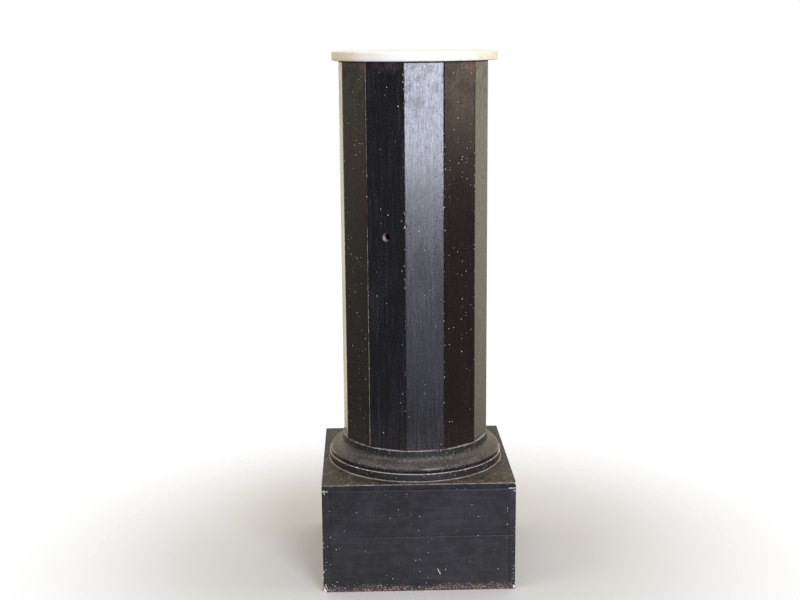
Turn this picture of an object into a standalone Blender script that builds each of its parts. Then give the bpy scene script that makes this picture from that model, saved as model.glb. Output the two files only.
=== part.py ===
"""Wooden pedestal column: a hollow twelve-sided shaft of staves on a turned base ring and a
square boarded plinth, with a round stone slab on top.

Metres, +Z up. The front of the plinth faces -Y. The origin is in the middle of the underside.
"""
from math import cos, pi, radians, sin

import bmesh
import bpy

# Shaft
SHAFT_RADIUS = 0.1644       # axis to the outer corner between two staves
SHAFT_LENGTH = 0.836
STAVE_COUNT = 12
STAVE_THICKNESS = 0.022
SHAFT_TURN = radians(7.6)   # how far the front stave is turned from the plinth's front

# Hole through the stave to the left of the front one
HOLE_DIAMETER = 0.018
HOLE_ABOVE_FOOT = 0.469
HOLE_SIDES = 32

# Slab
SLAB_THICKNESS = 0.020
SLAB_OVERHANG = 0.0162      # past the shaft's corners
SLAB_SHIFT = 0.004          # it lies this far to the right of the axis
SLAB_ARRIS = 0.003          # rounding of its rim
SLAB_ARRIS_STEPS = 3

# Base ring, from its lip down
LIP_HEIGHT = 0.003
LIP_LEDGE = 0.0006          # past the shaft's corners
CAVETTO_HEIGHT = 0.0205
CAVETTO_DEPTH = 0.010
CAVETTO_STEPS = 7
TORUS_HEIGHT = 0.018
TORUS_REACH = 0.028         # past the lip
TORUS_STEPS = 14
FILLET_HEIGHT = 0.0175
FILLET_REACH = 0.0315       # past the lip
ROUND_SIDES = 96            # of the ring and the slab

# Plinth
PLINTH_HEIGHT = 0.245
PLINTH_MARGIN = 0.0135      # from the ring to the plinth's edge
TOP_BOARD_THICKNESS = 0.013
SIDE_BOARD_THICKNESS = 0.015
LOWER_COURSE_HEIGHT = 0.125

# Joint left between two pieces that meet
JOINT = 0.0003

# Sizes that follow
STAVE_ANGLE = 2 * pi / STAVE_COUNT
SHAFT_APOTHEM = SHAFT_RADIUS * cos(STAVE_ANGLE / 2)
LIP_RADIUS = SHAFT_RADIUS + LIP_LEDGE
BORE_RADIUS = SHAFT_APOTHEM - STAVE_THICKNESS
FILLET_RADIUS = LIP_RADIUS + FILLET_REACH
PLINTH_HALF = FILLET_RADIUS + PLINTH_MARGIN
SLAB_RADIUS = SHAFT_RADIUS + SLAB_OVERHANG

# Levels, from the floor up
TOP_BOARD_FOOT = PLINTH_HEIGHT - TOP_BOARD_THICKNESS
UPPER_COURSE_FOOT = LOWER_COURSE_HEIGHT + JOINT
UPPER_COURSE_TOP = TOP_BOARD_FOOT - JOINT
RING_FOOT = PLINTH_HEIGHT + JOINT
RING_TOP = RING_FOOT + FILLET_HEIGHT + TORUS_HEIGHT + CAVETTO_HEIGHT + LIP_HEIGHT
SHAFT_FOOT = RING_TOP + JOINT
SLAB_FOOT = SHAFT_FOOT + SHAFT_LENGTH + JOINT


def make_material(name, colour, roughness):
    material = bpy.data.materials.new(name)
    material.use_nodes = True
    shader = material.node_tree.nodes["Principled BSDF"]
    shader.inputs["Base Color"].default_value = (*colour, 1.0)
    shader.inputs["Roughness"].default_value = roughness
    shader.inputs["Metallic"].default_value = 0.0
    material.diffuse_color = (*colour, 1.0)
    return material


def mesh_from(bm, name, material, smooth=False):
    """Turn a finished bmesh into a mesh with one material."""
    bmesh.ops.recalc_face_normals(bm, faces=bm.faces)
    mesh = bpy.data.meshes.new(name)
    bm.to_mesh(mesh)
    bm.free()
    mesh.materials.append(material)
    if smooth:
        mesh.shade_smooth()
        mesh.set_sharp_from_angle(angle=radians(30))
    return mesh


def add_piece(name, mesh, location=(0.0, 0.0, 0.0), turn=0.0, parent=None):
    piece = bpy.data.objects.new(name, mesh)
    bpy.context.scene.collection.objects.link(piece)
    piece.location = location
    piece.rotation_euler.z = turn
    piece.parent = parent
    return piece


def extruded(outline, height):
    """A prism on the outline, its foot at z = 0."""
    bm = bmesh.new()
    face = bm.faces.new([bm.verts.new((x, y, 0.0)) for x, y in outline])
    raised = bmesh.ops.extrude_face_region(bm, geom=[face])
    top = [item for item in raised["geom"] if isinstance(item, bmesh.types.BMVert)]
    bmesh.ops.translate(bm, verts=top, vec=(0.0, 0.0, height))
    return bm


def turned(profile):
    """A solid of revolution about Z from a closed profile of (radius, height) points."""
    bm = bmesh.new()
    verts = [bm.verts.new((radius, 0.0, height)) for radius, height in profile]
    edges = [bm.edges.new((a, b)) for a, b in zip(verts, verts[1:] + verts[:1])]
    bmesh.ops.spin(bm, geom=verts + edges, cent=(0, 0, 0), axis=(0, 0, 1), angle=2 * pi,
                   steps=ROUND_SIDES, use_merge=True)
    return bm


def stave_outline():
    """Section of a stave that faces -Y, mitred to its neighbours on both sides."""
    slope = STAVE_ANGLE / 2
    back = SHAFT_APOTHEM - STAVE_THICKNESS
    set_in = JOINT / 2 / cos(slope)
    outer = SHAFT_APOTHEM * sin(slope) / cos(slope) - set_in
    inner = back * sin(slope) / cos(slope) - set_in
    return [(-outer, -SHAFT_APOTHEM), (outer, -SHAFT_APOTHEM), (inner, -back), (-inner, -back)]


def make_hole_cutter(stave, material):
    """The drill for the hole: it lies along the stave's depth and passes both faces."""
    overrun = STAVE_THICKNESS / 2
    bm = bmesh.new()
    bmesh.ops.create_cone(bm, cap_ends=True, segments=HOLE_SIDES, radius1=HOLE_DIAMETER / 2,
                          radius2=HOLE_DIAMETER / 2, depth=STAVE_THICKNESS + 2 * overrun)
    cutter = add_piece("hole_cutter", mesh_from(bm, "hole_cutter", material),
                       (0.0, STAVE_THICKNESS / 2 - SHAFT_APOTHEM, HOLE_ABOVE_FOOT), parent=stave)
    cutter.rotation_euler.x = pi / 2
    cutter.hide_render = True
    cutter.display_type = "WIRE"
    return cutter


def make_shaft(material):
    """Twelve staves around the axis. The first faces front and they count towards +X."""
    mesh = mesh_from(extruded(stave_outline(), SHAFT_LENGTH), "stave", material)
    for index in range(STAVE_COUNT):
        stave = add_piece(f"stave_{index + 1:02d}", mesh, (0.0, 0.0, SHAFT_FOOT),
                          SHAFT_TURN + index * STAVE_ANGLE)
    drilling = stave.modifiers.new("hole", "BOOLEAN")
    drilling.operation = "DIFFERENCE"
    drilling.object = make_hole_cutter(stave, material)


def ring_profile():
    """Half section of the base ring: lip, cavetto, torus and fillet, then back up the bore."""
    cavetto_top = RING_TOP - LIP_HEIGHT
    torus_top = cavetto_top - CAVETTO_HEIGHT
    torus_middle = torus_top - TORUS_HEIGHT / 2
    fillet_top = torus_top - TORUS_HEIGHT
    torus_root = LIP_RADIUS + CAVETTO_DEPTH
    profile = [(BORE_RADIUS, RING_TOP), (LIP_RADIUS, RING_TOP), (LIP_RADIUS, cavetto_top)]
    for step in range(1, CAVETTO_STEPS + 1):
        angle = pi / 2 * step / CAVETTO_STEPS
        profile.append((LIP_RADIUS + CAVETTO_DEPTH * (1 - cos(angle)),
                        cavetto_top - CAVETTO_HEIGHT * sin(angle)))
    for step in range(1, TORUS_STEPS + 1):
        angle = pi * step / TORUS_STEPS
        profile.append((torus_root + (TORUS_REACH - CAVETTO_DEPTH) * sin(angle),
                        torus_middle + TORUS_HEIGHT / 2 * cos(angle)))
    profile += [(FILLET_RADIUS, fillet_top), (FILLET_RADIUS, RING_FOOT), (BORE_RADIUS, RING_FOOT)]
    return profile


def make_base_ring(material):
    add_piece("base_ring", mesh_from(turned(ring_profile()), "base_ring", material, smooth=True))


def make_slab(material):
    """A stone disc with rounded arrises that only rests on the staves."""
    bm = bmesh.new()
    bmesh.ops.create_cone(bm, cap_ends=True, segments=ROUND_SIDES, radius1=SLAB_RADIUS,
                          radius2=SLAB_RADIUS, depth=SLAB_THICKNESS)
    rims = [edge for edge in bm.edges if edge.verts[0].co.z == edge.verts[1].co.z]
    bmesh.ops.bevel(bm, geom=rims, offset=SLAB_ARRIS, segments=SLAB_ARRIS_STEPS, profile=0.5,
                    affect="EDGES")
    add_piece("top_slab", mesh_from(bm, "top_slab", material, smooth=True),
              (SLAB_SHIFT, 0.0, SLAB_FOOT + SLAB_THICKNESS / 2))


def make_board(name, low, high, material):
    """A board between two corners."""
    bm = extruded([(low[0], low[1]), (high[0], low[1]), (high[0], high[1]), (low[0], high[1])],
                  high[2] - low[2])
    add_piece(name, mesh_from(bm, name, material), (0.0, 0.0, low[2]))


def make_plinth(material):
    """A box open below: four walls of two courses each, closed by one board on top.
    The side walls run the full depth, and the front and the back fit between them."""
    edge = PLINTH_HALF
    wall = PLINTH_HALF - SIDE_BOARD_THICKNESS
    between = wall - JOINT
    courses = {"lower": (0.0, LOWER_COURSE_HEIGHT), "upper": (UPPER_COURSE_FOOT, UPPER_COURSE_TOP)}
    walls = {"front": ((-between, -edge), (between, -wall)), "back": ((-between, wall), (between, edge)),
             "left": ((-edge, -edge), (-wall, edge)), "right": ((wall, -edge), (edge, edge))}
    for course, (foot, top) in courses.items():
        for side, (low, high) in walls.items():
            make_board(f"plinth_{side}_{course}", (*low, foot), (*high, top), material)
    make_board("plinth_top", (-edge, -edge, TOP_BOARD_FOOT), (edge, edge, PLINTH_HEIGHT), material)


def main():
    for item in list(bpy.data.objects):
        bpy.data.objects.remove(item, do_unlink=True)
    shaft_paint = make_material("black_shaft_paint", (0.030, 0.028, 0.036), 0.38)
    plinth_paint = make_material("black_plinth_paint", (0.042, 0.042, 0.050), 0.55)
    stone = make_material("cream_stone", (0.78, 0.72, 0.60), 0.45)
    make_plinth(plinth_paint)
    make_base_ring(shaft_paint)
    make_shaft(shaft_paint)
    make_slab(stone)


main()
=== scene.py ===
from math import atan2, ceil, cos, hypot, pi, radians, sin
from random import Random

import bmesh
import bpy
from mathutils import Matrix, Vector, noise


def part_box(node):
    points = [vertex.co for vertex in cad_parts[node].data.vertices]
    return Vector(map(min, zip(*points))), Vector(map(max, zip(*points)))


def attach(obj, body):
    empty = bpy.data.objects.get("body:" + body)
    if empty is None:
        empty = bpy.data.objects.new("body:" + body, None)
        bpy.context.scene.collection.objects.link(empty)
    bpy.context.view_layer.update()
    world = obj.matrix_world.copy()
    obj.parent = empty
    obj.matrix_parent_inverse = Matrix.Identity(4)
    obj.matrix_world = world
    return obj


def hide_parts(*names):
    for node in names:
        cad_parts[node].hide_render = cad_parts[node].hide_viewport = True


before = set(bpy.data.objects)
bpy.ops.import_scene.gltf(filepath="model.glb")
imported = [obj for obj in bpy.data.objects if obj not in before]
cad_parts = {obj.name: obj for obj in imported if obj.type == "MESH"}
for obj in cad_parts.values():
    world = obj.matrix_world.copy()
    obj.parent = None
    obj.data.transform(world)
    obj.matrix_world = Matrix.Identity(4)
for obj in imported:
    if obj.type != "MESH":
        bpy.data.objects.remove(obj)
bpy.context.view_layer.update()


# Plinth walls
# Eight planed boards about 15 mm thick in two courses, glued edge to edge and nailed at the
# corners, where the side walls run through. Painted a dull black outside and bare inside.

BOARD_ARRIS = 0.00015
BOARD_FILL = 0.00013         # paint fills this much of a joint, from either side
BOARD_CELL = 0.0035          # spacing of the mesh that carries dents
BOARD_WEAR_WIDTH = 0.004     # how far wear reaches in from an arris
BOARD_WEAR_DEPTH = 0.0004
DENTED_SKIN = 0.004          # only this much of a board under its outer faces takes dents
PAINTED_SKIN = 0.002
DUST_TOP = 0.019             # how far dust and grit off the floor reach up the walls
GRIT_TOP = 0.026
CORNER_GRIT_TOP = 0.036
CORNER_GRIT_WIDTH = 0.050
CORNER_WEAR_TOP = 0.200
CORNER_WEAR_WIDTH = 0.011
ALONG_X = (14, 300, 300)     # grain, as noise cells in a metre each way
ALONG_Y = (300, 14, 300)
LARGE_SPECKS = (52, 0.0021, 0.060)   # cells in a metre, size, and share of the cells with a speck
SMALL_SPECKS = (110, 0.0016, 0.032)
WALL_BLACK = (0.0070, 0.0072, 0.0100, 1.0)
WALL_SCUFF = (0.030, 0.029, 0.037, 1.0)
WALL_BROWN = (0.0180, 0.0120, 0.0088, 1.0)
FLOOR_DUST = (0.25, 0.170, 0.140, 1.0)
GESSO = (0.66, 0.62, 0.55, 1.0)
SPECK = (0.88, 0.85, 0.79, 1.0)
WORN_EDGE = (0.14, 0.13, 0.12, 1.0)
BARE_WOOD = (0.36, 0.24, 0.14, 1.0)
BARE_WOOD_DARK = (0.17, 0.10, 0.055, 1.0)


class Wire:
    """A shader socket that takes part in Python expressions. Each operator adds a Math node."""

    def __init__(self, tree, socket):
        self.tree = tree
        self.socket = socket

    def node(self, kind, settings=None, inputs=None, output=0):
        """Any other node, from its type, its settings and the values or wires of its sockets."""
        made = self.tree.nodes.new(kind)
        for key, value in (settings or {}).items():
            setattr(made, key, value)
        for key, value in (inputs or {}).items():
            if isinstance(value, Wire):
                self.tree.links.new(value.socket, made.inputs[key])
            else:
                made.inputs[key].default_value = value
        return Wire(self.tree, made.outputs[output])

    def also(self, output):
        """Another output of the same node."""
        return Wire(self.tree, self.socket.node.outputs[output])

    def parts(self):
        """The x, y and z of this vector."""
        x = self.node("ShaderNodeSeparateXYZ", {}, {0: self})
        return x, x.also(1), x.also(2)

    def maths(self, operation, *values):
        return self.node("ShaderNodeMath", {"operation": operation},
                         dict(enumerate((self, *values))))

    def __add__(self, other):
        return self.maths("ADD", other)

    def __mul__(self, other):
        return self.maths("MULTIPLY", other)

    def __sub__(self, other):
        return self.maths("SUBTRACT", other)

    def __rsub__(self, other):
        return self.node("ShaderNodeMath", {"operation": "SUBTRACT"}, {0: other, 1: self})

    def __truediv__(self, other):
        return self.maths("DIVIDE", other)

    __radd__ = __add__
    __rmul__ = __mul__

    def ease(self, low, high):
        """0 at low and 1 at high, with a soft start and end; low may be the larger."""
        return self.node("ShaderNodeMapRange", {"interpolation_type": "SMOOTHSTEP"},
                         {"Value": self, "From Min": low, "From Max": high})

    def either(self, other):
        return self.maths("MAXIMUM", other)

    def noise(self, x, y, z, detail=2.0, roughness=0.55):
        """Noise on this vector, with x, y and z cells in a metre."""
        stretched = self.node("ShaderNodeVectorMath", {"operation": "MULTIPLY"},
                              {0: self, 1: (x, y, z)})
        return self.node("ShaderNodeTexNoise", {}, {"Vector": stretched, "Scale": 1.0,
                                                    "Detail": detail, "Roughness": roughness})

    def specks(self, per_metre, size, share, flat=True):
        """Small dots up to size metres across, in a share of the cells of a grid. A flat grid
        is for a map of the surface, and the other one fills space."""
        cells = self.node("ShaderNodeTexVoronoi", {"voronoi_dimensions": "2D" if flat else "3D"},
                          {"Vector": self, "Scale": per_metre})
        chance = cells.also("Color").node("ShaderNodeSeparateColor", {}, {0: cells.also("Color")})
        radius = (chance.also(1) * 0.6 + 0.4) * (size / 2 * per_metre)
        dot = cells.also("Distance").maths("LESS_THAN", radius)
        return dot * chance.maths("LESS_THAN", share)

    def over(self, below, colour):
        """This wire as the cover of a colour laid over the one below."""
        return self.node("ShaderNodeMix", {"data_type": "RGBA"}, {0: self, 6: below, 7: colour}, 2)


def new_material(name):
    """A material with a bare Principled shader, and its tree as a wire to start from."""
    material = bpy.data.materials.new(name)
    material.use_nodes = True
    tree = material.node_tree
    return material, tree.nodes["Principled BSDF"], Wire(tree, None)


def object_place(start):
    """Where a point lies on the column, in metres."""
    return start.node("ShaderNodeTexCoord", output="Object")


def attribute(start, name):
    return start.node("ShaderNodeAttribute", {"attribute_name": name}, output="Fac")


def flat_map(across, up):
    """A map of a surface, for specks."""
    return across.node("ShaderNodeCombineXYZ", {}, {0: across, 1: up})


def length(x, y):
    return (x * x + y * y).maths("SQRT")


def dress(shader, start, colour, roughness, height, relief, distance=0.001, specular=0.5):
    """Join a finish to the shader: colour, roughness and a bump of the given relief."""
    bump = start.node("ShaderNodeBump", {}, {"Strength": relief, "Distance": distance,
                                             "Height": height})
    for name, wire in (("Base Color", colour), ("Roughness", roughness), ("Normal", bump)):
        start.tree.links.new(wire.socket, shader.inputs[name])
    shader.inputs["Specular IOR Level"].default_value = specular


def bare_wood(name, grain):
    """Unpainted softwood, darkened with age. The grain gives the noise cells in a metre."""
    material, shader, start = new_material(name)
    place = object_place(start)
    rings = place.noise(*grain, detail=4.0)
    cloud = place.noise(9, 9, 9)
    colour = (rings * 0.8 + cloud * 0.5).ease(0.45, 0.85).over(BARE_WOOD, BARE_WOOD_DARK)
    dress(shader, start, colour, rings * 0.15 + 0.72, rings, relief=0.25)
    return material


def scuffed_black(start, face, grain, seed):
    """Dull black paint of the plinth: grain, scuffs, specks and chips down to the gesso. Gives
    its colour, roughness and height."""
    place = object_place(start)
    shifted = place.node("ShaderNodeMapping", {}, {"Vector": place, "Location": (seed, seed, seed)})
    wear = attribute(start, "wear")
    fibres = shifted.noise(*grain, detail=5.0, roughness=0.65)
    streaks = shifted.noise(*(cells * 0.30 for cells in grain), detail=4.0)
    cloud = shifted.noise(11, 11, 11, detail=4.0)
    blotch = shifted.noise(60, 60, 60, detail=5.0, roughness=0.7)
    ragged = shifted.noise(330, 330, 330, detail=3.0)
    scuffs = (streaks * 0.30 + fibres * 0.35 + cloud * 0.45 + blotch * 0.40).ease(0.66, 1.00)
    brown = (blotch * 0.7 + fibres * 0.3 + streaks * 0.2).ease(0.60, 0.72)
    colour = (brown * 0.9).over(WALL_BLACK, WALL_BROWN)
    colour = (scuffs * 0.75).over(colour, WALL_SCUFF)
    worn = (wear + (ragged - 0.5) * 0.8).ease(0.30, 0.80) * 0.22
    colour = worn.over(colour, WORN_EDGE)
    chips = (wear + (ragged - 0.5) * 0.9).ease(0.86, 0.92)
    specks = face.specks(*LARGE_SPECKS).either(face.specks(*SMALL_SPECKS))
    light = chips.either(specks * 0.85)
    gloss = (fibres - 0.5) * 0.22 + (cloud - 0.5) * 0.22 + (blotch - 0.5) * 0.26 + 0.46
    height = fibres * 0.5 + streaks * 0.25 + blotch * 0.4 - chips * 0.5
    return light.over(colour, SPECK), gloss.either(light * 0.8), height


def stroke(start, first, last, width):
    """A thin scratch on the front, between two points given as (x, z)."""
    x, y, z = object_place(start).parts()
    side, up = x - first[0], z - first[1]
    run = (last[0] - first[0], last[1] - first[1])
    squared = run[0] ** 2 + run[1] ** 2
    share = ((side * run[0] + up * run[1]) / squared).maths("MAXIMUM", 0.0).maths("MINIMUM", 1.0)
    off_line = length(side - share * run[0], up - share * run[1])
    return off_line.ease(width * 0.62, width * 0.38) * y.ease(front_y + 0.0030, front_y + 0.0015)


def scratched(start, colour):
    """Lay the front's scratches over a colour."""
    ragged = object_place(start).noise(420, 420, 420)
    for first, last, width in front_strokes:
        line = stroke(start, first, last, width) * ragged.ease(0.36, 0.50)
        colour = (line * 0.9).over(colour, GESSO)
    return colour


def wall_paint(name, grain, seed):
    """The walls' paint, with dust off the floor along its foot and wear up its corners."""
    material, shader, start = new_material(name)
    place = object_place(start)
    x, y, z = place.parts()
    face = flat_map(x + y, z)
    colour, gloss, height = scuffed_black(start, face, grain, seed)
    cloud = place.noise(16, 16, 16, detail=3.0)
    crumbs = place.noise(230, 230, 230, detail=4.0)
    dust = (z + (cloud - 0.5) * 0.034).ease(DUST_TOP, 0.001)
    colour = (dust * (crumbs.ease(0.44, 0.66) * 0.72 + 0.10)).over(colour, FLOOR_DUST)
    off_middle = x.maths("ABSOLUTE") + y.maths("ABSOLUTE")
    corner = 2 * plinth_half
    by_corner = off_middle.ease(corner - CORNER_WEAR_WIDTH, corner) * z.ease(CORNER_WEAR_TOP, 0.060)
    foot_corner = off_middle.ease(corner - CORNER_GRIT_WIDTH, corner) * z.ease(CORNER_GRIT_TOP, 0.004)
    share = z.ease(GRIT_TOP, 0.001) * 0.35 + by_corner * cloud * 0.6 + foot_corner * 0.35
    grit = face.specks(210, 0.0023, share)
    colour = scratched(start, (grit * 0.6).over(colour, GESSO))
    dress(shader, start, colour, gloss.either(dust * 0.85), height, relief=0.22,
          distance=0.0006, specular=0.42)
    return material


def cut_along(bm, axis, cell):
    """Split every edge that runs along an axis into cells, which makes rows of faces."""
    edges = []
    longest = 0.0
    for edge in bm.edges:
        span = edge.verts[1].co - edge.verts[0].co
        if abs(span[axis]) > 2 * cell and abs(span[axis]) > 0.99 * span.length:
            edges.append(edge)
            longest = max(longest, span.length)
    if edges:
        bmesh.ops.subdivide_edges(bm, edges=edges, cuts=ceil(longest / cell) - 1,
                                  use_grid_fill=True)


def dented(point, inward, nearness, knocks, roughness):
    """Move a point in from an arris by small random wear and by the knocks near it.
    Returns the new point and how worn it is, from 0 to 1."""
    ragged = noise.noise(point * 95.0) * 0.6 + noise.noise(point * 310.0) * 0.4
    worn = nearness * max(0.0, ragged * 1.9 - 0.22)
    depth = roughness * worn
    for centre, reach, bite in knocks:
        near = 1.0 - (point - centre).length / reach
        if near > 0.0:
            depth += bite * near
            worn = max(worn, min(1.0, near * 2.2))
    return point + inward * depth, min(1.0, worn)


def mesh_object(bm, name, materials, smooth_under=radians(40)):
    """Close a bmesh as an object at the origin, shaded smooth up to an angle."""
    mesh = bpy.data.meshes.new(name)
    bm.to_mesh(mesh)
    bm.free()
    mesh.shade_smooth()
    mesh.set_sharp_from_angle(angle=smooth_under)
    for material in materials:
        mesh.materials.append(material)
    piece = bpy.data.objects.new(name, mesh)
    bpy.context.scene.collection.objects.link(piece)
    return piece


def from_outside(point):
    """How far a point of the plinth lies under the walls' outer faces and the top."""
    return min(plinth_half - max(abs(point.x), abs(point.y)), plinth_top - point.z)


def board(node, paint, wood):
    """A board in the place of a CAD node: painted on the outside of the plinth, bare inside."""
    low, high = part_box(node)
    for k, edge in enumerate((plinth_half, plinth_half, plinth_top)):
        low[k] = max(low[k] - BOARD_FILL, -edge if k < 2 else 0.0)
        high[k] = min(high[k] + BOARD_FILL, edge)
    middle = (low + high) / 2
    bm = bmesh.new()
    bmesh.ops.create_cube(bm, size=1.0)
    bmesh.ops.scale(bm, vec=high - low, verts=bm.verts)
    bmesh.ops.translate(bm, vec=middle, verts=bm.verts)
    bmesh.ops.bevel(bm, geom=bm.edges[:], offset=BOARD_ARRIS, segments=2, profile=0.5,
                    affect="EDGES", material=-1)
    for axis in range(3):
        cut_along(bm, axis, BOARD_CELL)
    wear = bm.verts.layers.float.new("wear")
    for vert in bm.verts:
        from_sides = sorted(min(vert.co[k] - low[k], high[k] - vert.co[k]) for k in range(3))
        nearness = max(0.0, 1.0 - from_sides[1] / BOARD_WEAR_WIDTH)
        inward = (middle - vert.co).normalized()
        if from_outside(vert.co) < DENTED_SKIN:
            vert.co, vert[wear] = dented(vert.co, inward, nearness, front_knocks, BOARD_WEAR_DEPTH)
    for face in bm.faces:
        painted = from_outside(face.calc_center_median()) < PAINTED_SKIN
        face.material_index = 0 if painted else 1
    piece = mesh_object(bm, node + "_board", [paint, wood])
    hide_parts(node)
    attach(piece, "root")


plinth_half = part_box("plinth_top")[1].x
plinth_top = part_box("plinth_top")[1].z
top_board_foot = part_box("plinth_top")[0].z
left_corner = -plinth_half
right_corner = plinth_half
front_y = -plinth_half

# Knocks on the front, each as its middle, reach and depth: one on the top board's right end,
# one on its left joint, three on the lower corners, and small ones up both corners.
front_knocks = [
    (Vector((right_corner - 0.001, front_y, plinth_top - 0.002)), 0.0040, 0.0012),
    (Vector((left_corner + 0.002, front_y, top_board_foot)), 0.0030, 0.0008),
    (Vector((left_corner + 0.003, front_y, 0.003)), 0.0070, 0.0014),
    (Vector((left_corner + 0.002, front_y, 0.012)), 0.0036, 0.0008),
    (Vector((right_corner - 0.002, front_y, 0.005)), 0.0065, 0.0014),
]
draw = Random(5)
for _ in range(22):
    height = draw.uniform(0.004, 0.15)
    corner = right_corner if draw.random() < 0.75 else left_corner
    front_knocks.append((Vector((corner, front_y, height)), draw.uniform(0.0018, 0.0036), 0.0006))

# Scratches down to the gesso, each as its two ends and its width: two at either end of the top
# board's joint, one low down a little right of the middle, and one at the left foot.
front_strokes = (
    ((left_corner + 0.001, top_board_foot - 0.0005), (left_corner + 0.013, top_board_foot), 0.0017),
    ((left_corner + 0.004, top_board_foot + 0.003),
     (left_corner + 0.006, top_board_foot - 0.007), 0.0012),
    ((right_corner - 0.015, top_board_foot + 0.0006),
     (right_corner, top_board_foot + 0.0010), 0.0020),
    ((right_corner - 0.005, top_board_foot - 0.004),
     (right_corner - 0.002, top_board_foot - 0.006), 0.0018),
    ((0.0400, 0.050), (0.0455, 0.038), 0.0019),
    ((left_corner + 0.004, 0.018), (left_corner + 0.010, 0.005), 0.0014),
)

wall_wood_x = bare_wood("bare_wall_wood_x", (5, 150, 150))
wall_wood_y = bare_wood("bare_wall_wood_y", (150, 5, 150))
walls = (
    ("front", ALONG_X, 0.0, wall_wood_x),
    ("back", ALONG_X, 3.1, wall_wood_x),
    ("left", ALONG_Y, 5.3, wall_wood_y),
    ("right", ALONG_Y, 8.7, wall_wood_y),
)
for side, grain, seed, wood in walls:
    paint = wall_paint(f"wall_paint_{side}", grain, seed)
    for course in ("upper", "lower"):
        board(f"plinth_{side}_{course}", paint, wood)


# Plinth top board
# One board 13 mm thick, flush with the walls and nailed down on them. Its upper face is brown
# with dust, thickest and crumbly towards the front edge and round the foot of the ring.

DUSTY_FRONT = 0.030          # width of the crumbly dust along the front edge
DUSTY_RING = 0.014           # and round the ring
FOOT_LINE_WIDTH = 0.0018     # of the line of dust against the ring
TOP_BROWN = (0.0230, 0.0165, 0.0110, 1.0)
TOP_DUST = (0.140, 0.110, 0.078, 1.0)

ring_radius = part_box("base_ring")[1].x


def dusty_top_paint():
    material, shader, start = new_material("dusty_top_paint")
    place = object_place(start)
    x, y, z = place.parts()
    reach = length(x, y)
    face = flat_map(x, y + z)
    colour, gloss, height = scuffed_black(start, face, ALONG_X, 1.7)
    cloud = place.noise(9, 12, 9, detail=4.0)
    blotch = place.noise(70, 70, 70, detail=5.0, roughness=0.7)
    grit = place.noise(300, 300, 300, detail=4.0, roughness=0.7)
    grains = place.noise(520, 520, 520, detail=3.0, roughness=0.8)
    upper = z.ease(plinth_top - 0.0012, plinth_top - 0.0002)
    thick = (cloud * 0.5 + blotch * 0.8 + grit * 0.5).ease(0.84, 1.04)
    colour = (upper * (thick * 0.5 + 0.40)).over(colour, TOP_BROWN)
    # Dust, laid more thickly towards both sides, where it also stands in for the wall's reflection:
    # painted reflection.
    dust_and_side_reflection = x.maths("ABSOLUTE").ease(ring_radius * 0.65, plinth_half)
    colour = (upper * thick * (dust_and_side_reflection * 0.30 + 0.50)).over(colour, TOP_DUST)
    colour = (upper * grains.ease(0.50, 0.66) * 0.38).over(colour, TOP_DUST)
    colour = (upper * grains.ease(0.47, 0.36) * 0.75).over(colour, WALL_BLACK)
    foot_line = (reach - (ring_radius + 0.0006)).maths("ABSOLUTE").ease(FOOT_LINE_WIDTH, 0.0003)
    foot_line = foot_line * (grit * 0.9 + cloud * 0.4).ease(0.42, 0.74)
    front_edge = y.ease(front_y + DUSTY_FRONT, front_y + 0.002)
    near_ring = reach.ease(ring_radius + DUSTY_RING, ring_radius)
    crumbs = face.specks(280, 0.0023, front_edge.either(near_ring) * 0.26 + 0.05)
    crumbs = upper * crumbs.either(face.specks(90, 0.0022, 0.08))
    front_arris = front_edge * z.ease(plinth_top - 0.0022, plinth_top - 0.0004)
    front_arris = front_arris * y.ease(front_y + 0.0026, front_y + 0.0010)
    front_arris = front_arris * (grit * 0.7 + blotch * 0.5).ease(0.45, 0.68)
    pale = (front_arris * 0.36).either(foot_line * 0.8 * upper).either(crumbs * 0.65)
    colour = scratched(start, pale.over(colour, GESSO))
    dress(shader, start, colour, gloss.either(upper * (thick * 0.2 + 0.52)),
          height + grit * upper * 0.4 + crumbs, relief=0.30, distance=0.0007, specular=0.27)
    return material


board("plinth_top", dusty_top_paint(), wall_wood_x)


# Base ring
# A ring about 390 mm across, turned from glued blocks: a thin lip that the staves stand on, a
# cavetto, a low torus and a square fillet. Black paint, rubbed and grey with dust, with painted
# shade in the hollow under the lip and a painted bluish highlight along the torus.

RING_STEPS = 288
LIP_HEIGHT = 0.003
CAVETTO_HEIGHT = 0.0205
CAVETTO_DEPTH = 0.010
TORUS_HEIGHT = 0.018
TORUS_BELLY = 0.0062         # height of its widest line above the fillet
TORUS_UNDERCUT = 0.008
OGEE_BLEND = 0.0045          # the curves meet in a short slope, this far to either side
FILLET_PAST_TORUS = 0.0035
RING_ARRIS = 0.0007
RING_WEAR_WIDTH = 0.003
RING_WEAR_DEPTH = 0.0004
RING_KNOCKS = 46             # on the fillet's upper arris
SEATED = 0.0002              # the ring's foot and head stay flat this far in
RING_BLACK = (0.0110, 0.0100, 0.0110, 1.0)
RING_RUBBED = (0.042, 0.037, 0.036, 1.0)
RING_BELLY_HIGHLIGHT = (0.100, 0.102, 0.130, 1.0)
RING_DUST = (0.22, 0.19, 0.16, 1.0)
RING_SHADE_UNDER_LIP = (0.0050, 0.0045, 0.0045, 1.0)
RING_CRUMB = (0.26, 0.185, 0.135, 1.0)
LINE_DUST = (0.72, 0.61, 0.48, 1.0)

ring_low, ring_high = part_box("base_ring")
ring_points = [(hypot(v.co.x, v.co.y), v.co.z) for v in bpy.data.objects["base_ring"].data.vertices]
bore_radius = min(radius for radius, _ in ring_points)
lip_radius = max(radius for radius, height in ring_points if height > ring_high.z - 0.0005)
fillet_radius = ring_high.x
torus_radius = fillet_radius - FILLET_PAST_TORUS
torus_root = lip_radius + CAVETTO_DEPTH
lip_foot = ring_high.z - LIP_HEIGHT
torus_top = lip_foot - CAVETTO_HEIGHT
fillet_top = torus_top - TORUS_HEIGHT


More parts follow.
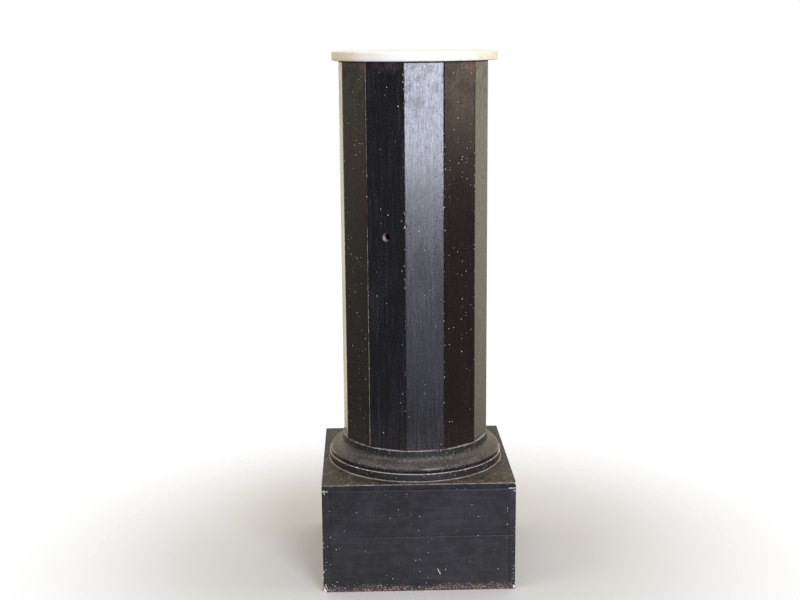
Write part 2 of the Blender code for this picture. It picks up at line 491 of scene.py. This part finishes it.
def arc(centre, radii, first, last, steps):
    """Points on an ellipse in the (radius, height) plane, both ends included."""
    angles = [first + (last - first) * step / steps for step in range(steps + 1)]
    return [(centre[0] + radii[0] * cos(a), centre[1] + radii[1] * sin(a)) for a in angles]


def ring_section():
    """Half section of the ring, from its bore over the lip and down to its foot."""
    small = (RING_ARRIS, RING_ARRIS)
    edge = fillet_radius - RING_ARRIS
    points = [(bore_radius, ring_high.z)]
    points += arc((lip_radius - RING_ARRIS, ring_high.z - RING_ARRIS), small, pi / 2, 0, 3)
    hollow = arc((torus_root, lip_foot), (CAVETTO_DEPTH, CAVETTO_HEIGHT), pi, 3 * pi / 2, 20)
    belly = fillet_top + TORUS_BELLY
    swelling = arc((torus_root, belly), (torus_radius - torus_root, torus_top - belly), pi / 2, 0, 24)
    points += [point for point in hollow + swelling if abs(point[0] - torus_root) > OGEE_BLEND]
    undercut = arc((torus_radius - TORUS_UNDERCUT, belly), (TORUS_UNDERCUT, TORUS_BELLY),
                   0, -pi / 2, 9)
    points += undercut[1:]
    points += arc((edge, fillet_top - RING_ARRIS), small, pi / 2, 0, 3)
    points += [(fillet_radius, fillet_top + (ring_low.z - fillet_top) * k / 4) for k in (1, 2, 3)]
    points += arc((edge, ring_low.z + RING_ARRIS), small, 0, -pi / 2, 3)
    return points + [(bore_radius, ring_low.z)]


def turned_ring():
    """The section spun round the axis, with a slight swell left by the chisel, and worn."""
    bm = bmesh.new()
    verts = [bm.verts.new((radius, 0.0, height)) for radius, height in ring_section()]
    edges = [bm.edges.new(pair) for pair in zip(verts, verts[1:] + verts[:1])]
    bmesh.ops.spin(bm, geom=verts + edges, cent=(0, 0, 0), axis=(0, 0, 1), angle=2 * pi,
                   steps=RING_STEPS, use_merge=True)
    bmesh.ops.remove_doubles(bm, verts=bm.verts, dist=0.00001)
    bmesh.ops.recalc_face_normals(bm, faces=bm.faces)
    wear = bm.verts.layers.float.new("wear")
    draw = Random(11)
    knocks = []
    for _ in range(RING_KNOCKS):
        around = draw.uniform(0.0, 2 * pi)
        middle = Vector((fillet_radius * cos(around), fillet_radius * sin(around), fillet_top))
        knocks.append((middle, draw.uniform(0.002, 0.006), 0.0007))
    for vert in bm.verts:
        radius = hypot(vert.co.x, vert.co.y)
        if radius < lip_radius - 0.002:
            continue
        outward = Vector((vert.co.x, vert.co.y, 0.0)) / radius
        swell = noise.noise(vert.co * 26.0) * 0.00008 + noise.noise(vert.co * 90.0) * 0.00004
        if ring_low.z + SEATED < vert.co.z < ring_high.z - SEATED:
            vert.co += outward * swell
        from_edge = min(hypot(radius - fillet_radius, vert.co.z - fillet_top),
                        hypot(radius - lip_radius, vert.co.z - ring_high.z))
        nearness = max(0.0, 1.0 - from_edge / RING_WEAR_WIDTH)
        inward = -outward - Vector((0.0, 0.0, 0.6 if vert.co.z > ring_low.z + 0.003 else 0.0))
        if vert.co.z > ring_low.z + SEATED:
            vert.co, vert[wear] = dented(vert.co, inward.normalized(), nearness, knocks,
                                         RING_WEAR_DEPTH)
    return bm


def turned_black_paint():
    material, shader, start = new_material("turned_black_paint")
    place = object_place(start)
    x, y, z = place.parts()
    reach = length(x, y)
    turned = place.node("ShaderNodeCombineXYZ", {}, {0: x / reach * 2.4, 1: y / reach * 2.4,
                                                     2: (z + reach * 0.7) * 520.0})
    lathe = turned.noise(1, 1, 1, detail=4.0)
    cloud = place.noise(15, 15, 15, detail=4.0)
    grit = place.noise(260, 260, 260, detail=4.0, roughness=0.75)
    upward = start.node("ShaderNodeNewGeometry", output="Normal").parts()[2]

    def dust_line(distance, width):
        """A broken line of dust, where a distance in metres is under the width."""
        broken = (grit * 1.3 + cloud * 0.6).ease(0.76, 1.02)
        return distance.maths("ABSOLUTE").ease(width, width * 0.25) * broken

    rubbed = (lathe * 0.35 + cloud * 0.45 + grit * 0.55).ease(0.52, 0.88)
    colour = (rubbed * 0.8).over(RING_BLACK, RING_RUBBED)
    dust = upward.ease(-0.10, 0.60) * (cloud * 0.5 + grit * 1.0).ease(0.66, 0.88)
    # Painted shade: the hollow under the lip is painted near-black and kept clear of dust.
    painted_shade_under_lip = z.ease(lip_foot - 0.015, lip_foot - 0.008)
    colour = (dust * 0.30 * (1.0 - painted_shade_under_lip * 0.95)).over(colour, RING_DUST)
    colour = (painted_shade_under_lip * 0.45).over(colour, RING_SHADE_UNDER_LIP)
    # Painted highlight: a bluish band along the torus just above its widest line, broken by noise,
    # for the cool window's reflection.
    belly = (z - (fillet_top + TORUS_BELLY + 0.0010)).maths("ABSOLUTE").ease(0.0042, 0.0012)
    painted_belly_highlight = belly * (lathe * 0.5 + grit * 0.7).ease(0.56, 0.74)
    colour = (painted_belly_highlight * 0.6).over(colour, RING_BELLY_HIGHLIGHT)
    lip_line = dust_line(z - ring_high.z, 0.0013)
    fillet_line = dust_line((z - fillet_top) + (fillet_radius - reach) * 0.8, 0.0015)
    foot_line = dust_line(z - ring_low.z, 0.0017)
    pale_lines = (lip_line * 0.58).either(fillet_line * 0.78)
    lines = pale_lines.either(foot_line * 0.95)
    face = flat_map(y.maths("ARCTAN2", x) * fillet_radius, z - reach)
    crumbs = face.specks(260, 0.0028, upward.ease(0.0, 0.5) * 0.30)
    colour = (crumbs * 0.50).over(colour, RING_CRUMB)
    colour = pale_lines.over((foot_line * 0.95).over(colour, LINE_DUST), GESSO)
    specks = face.specks(70, 0.0023, 0.20).either(face.specks(190, 0.0018, 0.10))
    chips = (attribute(start, "wear") + (grit - 0.5) * 0.8).ease(0.74, 0.80)
    light = (specks * 0.9).either(chips * 0.9)
    colour = light.over(colour, GESSO)
    roughness = (lathe - 0.5) * 0.14 + (cloud - 0.5) * 0.2 + (grit - 0.5) * 0.35 + 0.36
    roughness = roughness + dust * 0.25 + painted_shade_under_lip * 0.25 - belly * 0.21
    roughness = roughness.either(light.either(lines) * 0.8)
    dress(shader, start, colour, roughness, lathe * 0.4 + grit * 0.8, relief=0.26,
          distance=0.0006, specular=0.38)
    return material


ring = mesh_object(turned_ring(), "turned_base_ring", [turned_black_paint()])
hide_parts("base_ring")
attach(ring, "root")


# Staves
# Twelve boards 22 mm thick with mitred sides, glued into a hollow shaft and planed flat. Satin
# black paint, brushed upright. The arris left of the stave with the hole is rubbed to the wood,
# which is painted pale, partly as the bare wood and partly as a painted highlight along the arris.

FRONT_STAVE = "stave_01"
HOLED_STAVE = "stave_12"
SEAM_STAVE = "stave_11"      # its right arris is the one rubbed to the wood
STAVE_CELL = 0.0026
STAVE_ARRIS = 0.0003         # depth taken off an arris, and how far in that reaches
STAVE_ARRIS_WIDTH = 0.0012
RIPPLE_DEPTH = 0.00035       # unevenness of an arris, and how far in that reaches
RIPPLE_WIDTH = 0.003
PLANED_HOLLOW = 0.00022
SEAM_WEAR = 0.0018           # width rubbed bare beside the open joint
SEAM_DEPTH = 0.0008
SMALL_KNOCKS = 14            # on every arris
SMALL_KNOCK_DEPTH = 0.0005
NICK_DEPTH = 0.0010
WORN_FLANK = 0.004           # wear and paint go this far round into a joint
PAINTED_FLANK = 0.003
ARRIS_STEPS = (0.0, 0.0006, 0.0016, 0.0034, 0.0080, 0.0200)
FLANK_STEPS = (0.0008, 0.0024)
GRAIN_STEP = 0.37            # from stave to stave in the map of the paint
DRIP_LEFT = 0.0213           # a drip on the holed stave, this far left of its middle
DRIP_WIDTH = 0.0026
SHAFT_BLACK = (0.0062, 0.0058, 0.0064, 1.0)
SHAFT_BROWN_AND_REFLECTION = (0.0098, 0.0062, 0.0042, 1.0)
SHAFT_BLOOM = (0.0400, 0.0400, 0.0560, 1.0)
SHAFT_CHIP = (0.92, 0.89, 0.84, 1.0)
SHAFT_DUST = (0.090, 0.078, 0.064, 1.0)
DRIP_BLUE = (0.048, 0.052, 0.070, 1.0)
SEAM_WOOD_AND_HIGHLIGHT = (0.28, 0.24, 0.195, 1.0)
SEAM_RED = (0.15, 0.070, 0.052, 1.0)
RED_WORN = (0.17, 0.070, 0.045, 1.0)
GREY_WORN = (0.100, 0.066, 0.066, 1.0)
HOLE_SHADED_WOOD = (0.24, 0.20, 0.15, 1.0)
HOLE_LIT_WOOD = (0.66, 0.60, 0.50, 1.0)

# Rows of the photograph: the shaft's head and foot, the stretch of the seam that is reddish,
# the bright end of the seam, and where the drip starts to show and is whole.
SHAFT_ROWS = (62.0, 451.0)
RED_ROWS = (172, 232)
HIGHLIGHT_ROWS = (84, 112)
DRIP_ROWS = (282, 296)

# Nicks in the left arris of the front stave, as the row of the photograph and the reach
FRONT_NICKS = ((82, 0.0018), (103, 0.0020), (213, 0.0030), (226, 0.0048), (248, 0.0028),
               (278, 0.0024), (327, 0.0026), (334, 0.0020), (372, 0.0024))

# How brown a stave is, from 0 to 1, and the patch rubbed red at its head, as its reach, its
# strength and its place across the stave. The brown given to stave_11 and stave_02, turned half
# away on either side, is partly painted reflection of the warm light they catch. The other
# staves draw their tone and have small patches.
STAVE_BROWNS_AND_REFLECTIONS = {"stave_11": 0.75, "stave_12": 0.10, "stave_01": 0.0, "stave_02": 0.85}
RUBBED_HEADS = {"stave_11": (0.040, 1.18, 1.0), "stave_12": (0.048, 1.10, 0.15),
                "stave_02": (0.044, 1.10, 1.0)}
SMALL_HEAD_PATCH = (0.020, 0.4, 1.0)

shaft_low, shaft_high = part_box(FRONT_STAVE)
stave_names = sorted(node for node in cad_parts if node.startswith("stave_"))
stave_angle = 2 * pi / len(stave_names)
stave_points = [v.co for v in bpy.data.objects[FRONT_STAVE].data.vertices]
shaft_radius = max(hypot(point.x, point.y) for point in stave_points)
outer = [point.xy for point in stave_points if hypot(point.x, point.y) > shaft_radius - 0.001]
front_middle = sum(outer, Vector((0.0, 0.0))) / len(outer)
shaft_turn = atan2(front_middle.x, -front_middle.y)
apothem = front_middle.length
inner_apothem = min(hypot(point.x, point.y) for point in stave_points) * cos(stave_angle / 2)
hole_levels = [v.co.z for v in bpy.data.objects[HOLED_STAVE].data.vertices
               if shaft_low.z + 0.01 < v.co.z < shaft_high.z - 0.01]
hole_radius = (max(hole_levels) - min(hole_levels)) / 2
hole_height = (max(hole_levels) + min(hole_levels)) / 2


def photo_row_height(row):
    """Height on the shaft's front of a row of the photograph."""
    head_row, foot_row = SHAFT_ROWS
    share = (foot_row - row) / (foot_row - head_row)
    squeeze = 0.045                      # the foot is further from the camera than the head
    share = share + squeeze * share * (1 - share)
    return shaft_low.z + share * (shaft_high.z - shaft_low.z)


def satin_black_paint():
    material, shader, start = new_material("shaft_paint")
    grain_place = start.node("ShaderNodeUVMap", {"uv_map": "grain"})
    across, up_shaft, _ = grain_place.parts()
    wear, seam, rosy, brown_and_reflection = (attribute(start, name) for name in ("wear", "seam", "rosy", "brown_and_reflection"))
    fibres = grain_place.noise(700, 16, 1, detail=5.0, roughness=0.65)
    streaks = grain_place.noise(190, 6.0, 1, detail=5.0, roughness=0.65)
    drags = grain_place.noise(60, 1.1, 1, detail=2.0)
    cloud = grain_place.noise(12, 6, 1, detail=3.0)
    grit = grain_place.noise(420, 420, 1, detail=3.0, roughness=0.7)
    mottle = grain_place.noise(150, 70, 1, detail=5.0, roughness=0.75)
    grains = grain_place.noise(330, 250, 1, detail=4.0, roughness=0.75)
    near_top = up_shaft.ease(shaft_high.z - 0.16, shaft_high.z - 0.005)
    near_foot = up_shaft.ease(shaft_low.z + 0.10, shaft_low.z + 0.003)

    # Black or brown paint, the brown partly painted reflection, with a bluish bloom and dust that
    # show most on the black
    brown = (brown_and_reflection + (streaks - 0.5) * 0.5 + (cloud - 0.5) * 0.8).ease(0.0, 1.0)
    colour = brown.over(SHAFT_BLACK, SHAFT_BROWN_AND_REFLECTION)
    on_black = 1.0 - brown_and_reflection.ease(0.2, 0.7)
    bloom = (fibres * 0.4 + streaks * 0.3 + grains * 0.5 + cloud * 0.2).ease(0.68, 0.83)
    colour = (bloom * (on_black * 0.44 + 0.10)).over(colour, SHAFT_BLOOM)
    dust = near_foot * (grit * 0.6 + streaks * 0.5).ease(0.42, 0.80)
    colour = (dust * (on_black * 0.14 + 0.08)).over(colour, SHAFT_DUST)

    # Rubbed heads, and the bare wood of the seam, painted paler towards its head as a highlight
    worn_red = (rosy + (mottle - 0.5) * 1.3).ease(0.36, 1.05)
    colour = (worn_red * 0.75).over(colour, brown_and_reflection.ease(0.2, 0.5).over(GREY_WORN, RED_WORN))
    bare = (seam + (grit - 0.5) * 0.40).ease(0.34, 0.52)
    red_high, red_low = (photo_row_height(row) for row in RED_ROWS)
    reddish = up_shaft.ease(red_low, red_low + 0.02) * up_shaft.ease(red_high, red_high - 0.02)
    reddish = (reddish + grain_place.noise(1, 14, 1, detail=3.0) - 0.5).ease(0.2, 0.5)
    clear = grain_place.noise(1, 45, 1, detail=3.0).ease(0.62, 0.40)
    # Painted highlight: towards its head the seam shows paler, as light along the worn arris.
    highlight_whole, highlight_end = (photo_row_height(row) for row in HIGHLIGHT_ROWS)
    clear = clear.either(up_shaft.ease(highlight_end, highlight_whole))
    colour = (bare * (clear * 0.6 + 0.35)).over(colour, reddish.over(SEAM_WOOD_AND_HIGHLIGHT, SEAM_RED))

    # The drip, specks and chips
    drip_place = stave_names.index(HOLED_STAVE) * GRAIN_STEP - DRIP_LEFT
    drip_start, drip_whole = (photo_row_height(row) for row in DRIP_ROWS)
    in_drip = (across - drip_place).maths("ABSOLUTE").ease(DRIP_WIDTH / 2, 0.0003)
    in_drip = in_drip * up_shaft.ease(drip_start, drip_whole)
    colour = (in_drip * streaks.ease(0.40, 0.60) * 0.5).over(colour, DRIP_BLUE)
    crowd = (cloud.ease(0.40, 0.68) * 0.24 + 0.05) * (brown_and_reflection.ease(0.0, 0.6) * 0.75 + 0.25)
    specks = grain_place.specks(40, 0.0022, crowd).either(grain_place.specks(85, 0.0017, crowd))
    chips = (wear + (grit - 0.5) * 0.9).ease(0.80, 0.86)
    light = chips.either(specks * 0.9)
    colour = light.over(colour, SHAFT_CHIP)

    # Brushed roughness, pitted at the head and dull where bare or grimy under the slab
    pits = near_top * (grains * 0.8 + mottle * 0.3).ease(0.58, 0.72) + mottle.ease(0.56, 0.78) * 0.4
    grime = up_shaft.ease(shaft_high.z - 0.0040, shaft_high.z - 0.0022)
    roughness = (fibres - 0.5) * 0.22 + (streaks - 0.5) * 0.30 + (drags - 0.5) * 0.10 + 0.225
    roughness = roughness + (grains - 0.5) * 0.46 + (cloud - 0.5) * 0.16 + pits * 0.12 + dust * 0.25
    roughness = roughness.either(light * 0.8).either(bare * 0.7).either(worn_red * 0.5)
    height = fibres * 0.25 + streaks * 0.35 + grains * 0.60 + mottle * near_top * 0.3
    height = height - chips * 0.8 + specks * 0.6
    dress(shader, start, colour, roughness.either(grime * 0.95), height, relief=0.15,
          distance=0.0005, specular=0.49)

    # Polish left between the rubs and, at the head, the smudges of hands
    smudges = near_top * grain_place.noise(38, 30, 1, detail=2.0).ease(0.50, 0.62)
    rubs = grain_place.noise(560, 40, 1, detail=5.0, roughness=0.75)
    rubbed_dull = (rubs * 0.72 + mottle * 0.30 + smudges * 0.16).ease(0.43, 0.62)
    polish = 1.0 - rubbed_dull.either(light).either(bare).either(grime)
    start.tree.links.new((polish * 0.55).socket, shader.inputs["Coat Weight"])
    shader.inputs["Coat Roughness"].default_value = 0.21
    return material


def drilled_wood_finish():
    """Wood in the hole, painted pale on its lower side as painted light and darker above as painted
    shade, and painted round its mouth.
    """
    material, shader, start = new_material("drilled_wood")
    place = object_place(start)
    x, y, z = place.parts()
    fibres = place.noise(900, 900, 60, detail=4.0)
    # Painted light and shade: the lower side of the bore, which faces up, is pale and the upper side
    # darker.
    painted_light_low_side = z.ease(hole_height + hole_radius * 0.1, hole_height - hole_radius * 0.6)
    colour = (fibres.ease(0.3, 0.75) * 0.4 + painted_light_low_side * 0.6).over(HOLE_SHADED_WOOD, HOLE_LIT_WOOD)
    soiled = length(x, y).ease(apothem - 0.0042, apothem - 0.0020)
    colour = (soiled * 0.92).over(colour, SHAFT_BLACK)
    dress(shader, start, colour, fibres * 0.2 + 0.7, fibres, relief=0.3, distance=0.0006)
    return material


shaft_paint = satin_black_paint()
stave_wood = bare_wood("bare_stave_wood", (160, 160, 6))
drilled_wood = drilled_wood_finish()


def arris_knocks(node, side, draw):
    """Places along one arris of a stave that have lost their paint: (height, reach, depth)."""
    knocks = [(draw.uniform(shaft_low.z, shaft_high.z), draw.uniform(0.0012, 0.0030),
               SMALL_KNOCK_DEPTH) for _ in range(SMALL_KNOCKS)]
    if node == FRONT_STAVE and side == -1:
        knocks += [(photo_row_height(row), reach, NICK_DEPTH) for row, reach in FRONT_NICKS]
    return knocks


def stave_section():
    """Outline of a stave that faces -Y, with extra points near its two outer arrises."""
    slope = stave_angle / 2
    clearance = 0.00015 / cos(slope)
    half = apothem * sin(slope) / cos(slope) - clearance
    inner_half = inner_apothem * sin(slope) / cos(slope) - clearance
    face = [half - step for step in ARRIS_STEPS]
    front = [(-x, -apothem) for x in face] + [(x, -apothem) for x in reversed(face)]
    flank = [(half - step * sin(slope), -apothem + step * cos(slope)) for step in FLANK_STEPS]
    left_flank = [(-x, y) for x, y in reversed(flank)]
    return front + flank + [(inner_half, -inner_apothem), (-inner_half, -inner_apothem)] + left_flank


def map_paint(bm, index):
    """Give every stave a strip of its own in the map of the paint, and paint its face and the
    outer part of its flanks."""
    grain = bm.loops.layers.uv.new("grain")
    for face in bm.faces:
        for loop in face.loops:
            place = loop.vert.co
            loop[grain].uv = (place.x + place.y + apothem + index * GRAIN_STEP, place.z)
        painted = face.calc_center_median().y < -apothem + PAINTED_FLANK
        face.material_index = 0 if painted else 1


def wear_stave(bm, index, node):
    """Ease, ripple and knock the arrises, hollow the face a little with the plane, and mark
    what is worn, rubbed or brown, the brown partly painted reflection."""
    wear, seam, rosy, brown_and_reflection = (bm.verts.layers.float.new(name)
                              for name in ("wear", "seam", "rosy", "brown_and_reflection"))
    draw = Random(100 + index)
    own_brown_and_reflection = STAVE_BROWNS_AND_REFLECTIONS.get(node, draw.uniform(0.1, 0.7))
    head_reach, head_rubbed, head_place = RUBBED_HEADS.get(node, SMALL_HEAD_PATCH)
    half = max(vert.co.x for vert in bm.verts)
    knocks = {side: arris_knocks(node, side, draw) for side in (-1, 1)}
    for vert in bm.verts:
        point = vert.co.copy()
        vert[brown_and_reflection] = own_brown_and_reflection
        if point.y > -apothem + WORN_FLANK:
            continue
        side = 1 if point.x > 0 else -1
        from_corner = hypot(half - abs(point.x), point.y + apothem)
        ripple = max(0.0, noise.noise(Vector((side * 9 + index, 0, point.z * 140))))
        depth = STAVE_ARRIS * max(0.0, 1.0 - from_corner / STAVE_ARRIS_WIDTH)
        depth += RIPPLE_DEPTH * ripple * max(0.0, 1.0 - from_corner / RIPPLE_WIDTH)
        for height, reach, bite in knocks[side]:
            near = 1.0 - hypot(from_corner * 1.3, point.z - height) / reach
            if near > 0:
                depth += bite * near
                vert[wear] = max(vert[wear], min(1.0, near * 2.4))
        if node == SEAM_STAVE and side == 1:
            width = SEAM_WEAR * (1.0 + 0.35 * noise.noise(Vector((3.0, 1.0, point.z * 22))))
            rubbed = max(0.0, 1.0 - from_corner / width)
            depth += SEAM_DEPTH * rubbed
            vert[seam] = min(1.0, rubbed * 1.6)
        off_head = hypot(shaft_high.z - point.z, (half * head_place - point.x) * 0.7) / head_reach
        vert[rosy] = head_rubbed * max(0.0, 1.0 - off_head)
        wave = noise.noise(Vector((point.x * 14, index * 3.7, point.z * 7))) * PLANED_HOLLOW
        at_end = point.z < shaft_low.z + 0.0001 or point.z > shaft_high.z - 0.0001
        hollow = 0.0 if at_end else max(0.0, wave)
        vert.co = point + Vector((-side * 0.6, 0.8, 0.0)) * depth + Vector((0.0, hollow, 0.0))


def bore(piece, turn):
    """Drill the hole through a stave with a round bit."""
    bm = bmesh.new()
    bmesh.ops.create_cone(bm, cap_ends=True, segments=64, radius1=hole_radius, radius2=hole_radius,
                          depth=(apothem - inner_apothem) * 2)
    bmesh.ops.rotate(bm, verts=bm.verts, matrix=Matrix.Rotation(pi / 2, 3, "X"))
    bmesh.ops.translate(bm, verts=bm.verts, vec=(0, -(apothem + inner_apothem) / 2, hole_height))
    bmesh.ops.rotate(bm, verts=bm.verts, matrix=Matrix.Rotation(turn, 3, "Z"))
    bit = mesh_object(bm, "drill_bit", [shaft_paint, stave_wood, drilled_wood])
    for face in bit.data.polygons:
        face.material_index = 2
    cut = piece.modifiers.new("bore", "BOOLEAN")
    cut.operation = "DIFFERENCE"
    cut.object = bit
    cut.material_mode = "INDEX"
    finished = piece.evaluated_get(bpy.context.evaluated_depsgraph_get())
    drilled = bpy.data.meshes.new_from_object(finished)
    piece.modifiers.clear()
    drilled.shade_smooth()
    drilled.set_sharp_from_angle(angle=radians(40))
    piece.data = drilled
    bpy.data.objects.remove(bit)


for index, node in enumerate(stave_names):
    turn = shaft_turn + index * stave_angle
    bm = bmesh.new()
    foot = bm.faces.new([bm.verts.new((x, y, shaft_low.z)) for x, y in stave_section()])
    raised = bmesh.ops.extrude_face_region(bm, geom=[foot])["geom"]
    bmesh.ops.translate(bm, verts=[item for item in raised if isinstance(item, bmesh.types.BMVert)],
                        vec=(0.0, 0.0, shaft_high.z - shaft_low.z))
    cut_along(bm, 2, STAVE_CELL)
    bmesh.ops.recalc_face_normals(bm, faces=bm.faces)
    map_paint(bm, index)
    wear_stave(bm, index, node)
    bmesh.ops.rotate(bm, verts=bm.verts, matrix=Matrix.Rotation(turn, 3, "Z"))
    piece = mesh_object(bm, f"shaft_{node}", [shaft_paint, stave_wood, drilled_wood])
    if node == HOLED_STAVE:
        bore(piece, turn)
    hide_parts(node)
    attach(piece, "root")


# Top slab
# A round slab of cream limestone 20 mm thick with eased arrises, honed and laid loose on the
# staves. Tan clouds show in it, and tan is laid more thickly at both ends of the rim as painted
# shade.

SLAB_SEGMENTS = 224
SLAB_ARRIS = 0.003
STONE_CREAM = (0.90, 0.86, 0.76, 1.0)
STONE_PALE = (0.92, 0.90, 0.84, 1.0)
STONE_TAN = (0.91, 0.785, 0.55, 1.0)
STONE_VEIN = (0.55, 0.45, 0.32, 1.0)

slab_low, slab_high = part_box("top_slab")
slab_middle = (slab_low + slab_high) / 2
slab_radius = (slab_high.x - slab_low.x) / 2


def nibbled_disc():
    """A disc with rounded arrises, and shallow nibbles out of them."""
    bm = bmesh.new()
    bmesh.ops.create_cone(bm, cap_ends=True, segments=SLAB_SEGMENTS, radius1=slab_radius,
                          radius2=slab_radius, depth=slab_high.z - slab_low.z)
    rims = [edge for edge in bm.edges if abs(edge.verts[0].co.z - edge.verts[1].co.z) < 0.001]
    bmesh.ops.bevel(bm, geom=rims, offset=SLAB_ARRIS, segments=5, profile=0.5, affect="EDGES",
                    material=-1)
    bmesh.ops.translate(bm, verts=bm.verts, vec=slab_middle)
    for vert in bm.verts:
        outward = Vector((vert.co.x - slab_middle.x, vert.co.y, 0.0)).normalized()
        nibble = max(0.0, noise.noise(vert.co * 60.0) - 0.15) * 0.0012
        nibble += max(0.0, noise.noise(vert.co * 210.0) - 0.25) * 0.0010
        from_middle = abs(vert.co.z - slab_middle.z) / (slab_high.z - slab_middle.z)
        vert.co -= outward * nibble * from_middle
    return bm


def honed_stone():
    material, shader, start = new_material("honed_cream_stone")
    place = object_place(start)
    cloud = place.noise(7, 7, 16, detail=5.0, roughness=0.6)
    patch = place.noise(3.4, 3.4, 5, detail=3.0)
    grit = place.noise(420, 420, 420, detail=3.0)
    # Painted shade: the rim is made tanner and darker towards both ends, left and right, where it
    # turns from the light.
    ends = place.parts()[0].maths("ABSOLUTE").ease(slab_radius * 0.42, slab_radius * 0.95)
    veins = (place.noise(11, 11, 11, detail=5.0, roughness=0.65) - 0.5).maths("ABSOLUTE")
    colour = cloud.ease(0.38, 0.66).over(STONE_CREAM, STONE_PALE)
    tan_and_shade = (ends * 0.55 + patch * 0.6 + cloud * 0.35).ease(0.62, 1.0)
    colour = (tan_and_shade * 0.75).over(colour, STONE_TAN)
    colour = (veins.ease(0.022, 0.0) * patch.ease(0.45, 0.7) * 0.35).over(colour, STONE_VEIN)
    pits = place.specks(240, 0.0013, 0.16, flat=False)
    colour = (pits * 0.6).over(colour, STONE_VEIN)
    dress(shader, start, colour, grit * 0.12 + cloud * 0.2 + 0.30, grit * 0.3 - pits,
          relief=0.18, distance=0.0004)
    return material


slab = mesh_object(nibbled_disc(), "stone_top_slab", [honed_stone()])
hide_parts("top_slab")
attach(slab, "root")


# Floor, light and camera
# A pale floor that fades into a white surround. A tall cool window to the right of the camera
# gives the front stave its sheen, and a weaker warm one further round lights the next stave.

FLOOR_RADIUS = 1.5
FLOOR_FADE = (1.00, 0.38)    # from the axis: where the floor has gone, and where it is whole
SURROUND_RADIUS = 30.0
FLOOR_PALE = (0.60, 0.585, 0.565, 1.0)
FLOOR_CLOUD = (0.68, 0.665, 0.645, 1.0)
SURROUND_BEHIND = (1.06, 0.98, 0.74, 1.0)
SURROUND_FRONT = (0.125, 0.12, 0.125, 1.0)
SURROUND_ABOVE = (0.98, 0.965, 0.94, 1.0)
WHITE = (1.0, 1.0, 1.0, 1.0)
BLACK = (0.0, 0.0, 0.0, 1.0)


def fading_floor():
    material, shader, start = new_material("pale_floor")
    place = object_place(start)
    x, y, _ = place.parts()
    cloud = place.noise(1.5, 1.5, 1.5, detail=3.0)
    dress(shader, start, cloud.over(FLOOR_PALE, FLOOR_CLOUD), cloud * 0.1 + 0.75,
          place.noise(60, 60, 60, detail=3.0), relief=0.05)
    start.tree.links.new(length(x, y).ease(*FLOOR_FADE).socket, shader.inputs["Alpha"])
    return material


def lit_white():
    material, shader, _ = new_material("white_surround")
    shader.inputs["Base Color"].default_value = BLACK
    shader.inputs["Emission Color"].default_value = WHITE
    shader.inputs["Emission Strength"].default_value = 1.0
    return material


bm = bmesh.new()
bmesh.ops.create_circle(bm, cap_ends=True, segments=96, radius=FLOOR_RADIUS)
mesh_object(bm, "pale_floor", [fading_floor()])

# White all round for the camera alone. The glow of the world is what lights the column.
bm = bmesh.new()
bmesh.ops.create_uvsphere(bm, u_segments=48, v_segments=24, radius=SURROUND_RADIUS)
bmesh.ops.reverse_faces(bm, faces=bm.faces)
surround = mesh_object(bm, "white_surround", [lit_white()])
surround.visible_diffuse = False
surround.visible_glossy = False
surround.visible_transmission = False
surround.visible_shadow = False

world = bpy.data.worlds.new("glow")
bpy.context.scene.world = world
world.use_nodes = True
sky = Wire(world.node_tree, None).node("ShaderNodeTexCoord", output="Generated")
_, back, above = sky.parts()
glow = (back + above * 1.3).ease(-0.06, 0.74).over(SURROUND_FRONT, SURROUND_BEHIND)
glow = above.ease(0.25, 0.85).over(glow, SURROUND_ABOVE)
world.node_tree.links.new(glow.socket, world.node_tree.nodes["Background"].inputs["Color"])


def window(name, azimuth, distance, low, high, width, colour, radiance):
    """An upright soft light that faces the column. Azimuth 0 is in front and 90 to the right."""
    data = bpy.data.lights.new(name, "AREA")
    data.shape = "RECTANGLE"
    data.size = width
    data.size_y = high - low
    data.color = colour
    data.energy = radiance * pi * width * (high - low)
    light = bpy.data.objects.new(name, data)
    bpy.context.scene.collection.objects.link(light)
    around = radians(azimuth)
    light.location = (distance * sin(around), -distance * cos(around), (low + high) / 2)
    light.rotation_euler = (pi / 2, 0.0, around)
    light.visible_camera = False


window("cool_window", azimuth=17.8, distance=5.0, low=0.40, high=3.2, width=1.7,
       colour=(0.81, 0.84, 1.0), radiance=16.8)
window("cool_floor_glow", azimuth=17.8, distance=5.0, low=-1.0, high=0.40, width=1.8,
       colour=(0.83, 0.85, 1.0), radiance=0.92)
window("warm_window", azimuth=78.0, distance=4.0, low=0.72, high=2.8, width=1.2,
       colour=(1.0, 0.78, 0.62), radiance=2.5)
window("high_fill", azimuth=-58.0, distance=4.0, low=2.6, high=4.6, width=2.0,
       colour=(1.0, 0.95, 0.86), radiance=3.0)

CAMERA_PLACE = Vector((-0.1128, -2.8829, 1.1975))
CAMERA_DOWN = radians(11.55)
CAMERA_YAW = radians(1.61)
CAMERA_ROLL = radians(-0.47)
CAMERA_LENS = 58.7
CAMERA_SENSOR = 36.0

ahead = Vector((sin(CAMERA_YAW) * cos(CAMERA_DOWN), cos(CAMERA_YAW) * cos(CAMERA_DOWN),
                -sin(CAMERA_DOWN)))
level_right = Vector((cos(CAMERA_YAW), -sin(CAMERA_YAW), 0.0))
level_up = level_right.cross(ahead)
right = level_right * cos(CAMERA_ROLL) + level_up * sin(CAMERA_ROLL)
up = level_up * cos(CAMERA_ROLL) - level_right * sin(CAMERA_ROLL)
camera_data = bpy.data.cameras.new("camera")
camera_data.lens = CAMERA_LENS
camera_data.sensor_width = CAMERA_SENSOR
camera = bpy.data.objects.new("camera", camera_data)
bpy.context.scene.collection.objects.link(camera)
facing = Matrix((right, up, -ahead)).transposed().to_4x4()
camera.matrix_world = Matrix.Translation(CAMERA_PLACE) @ facing
bpy.context.scene.camera = camera
bpy.context.scene.view_settings.view_transform = "Standard"
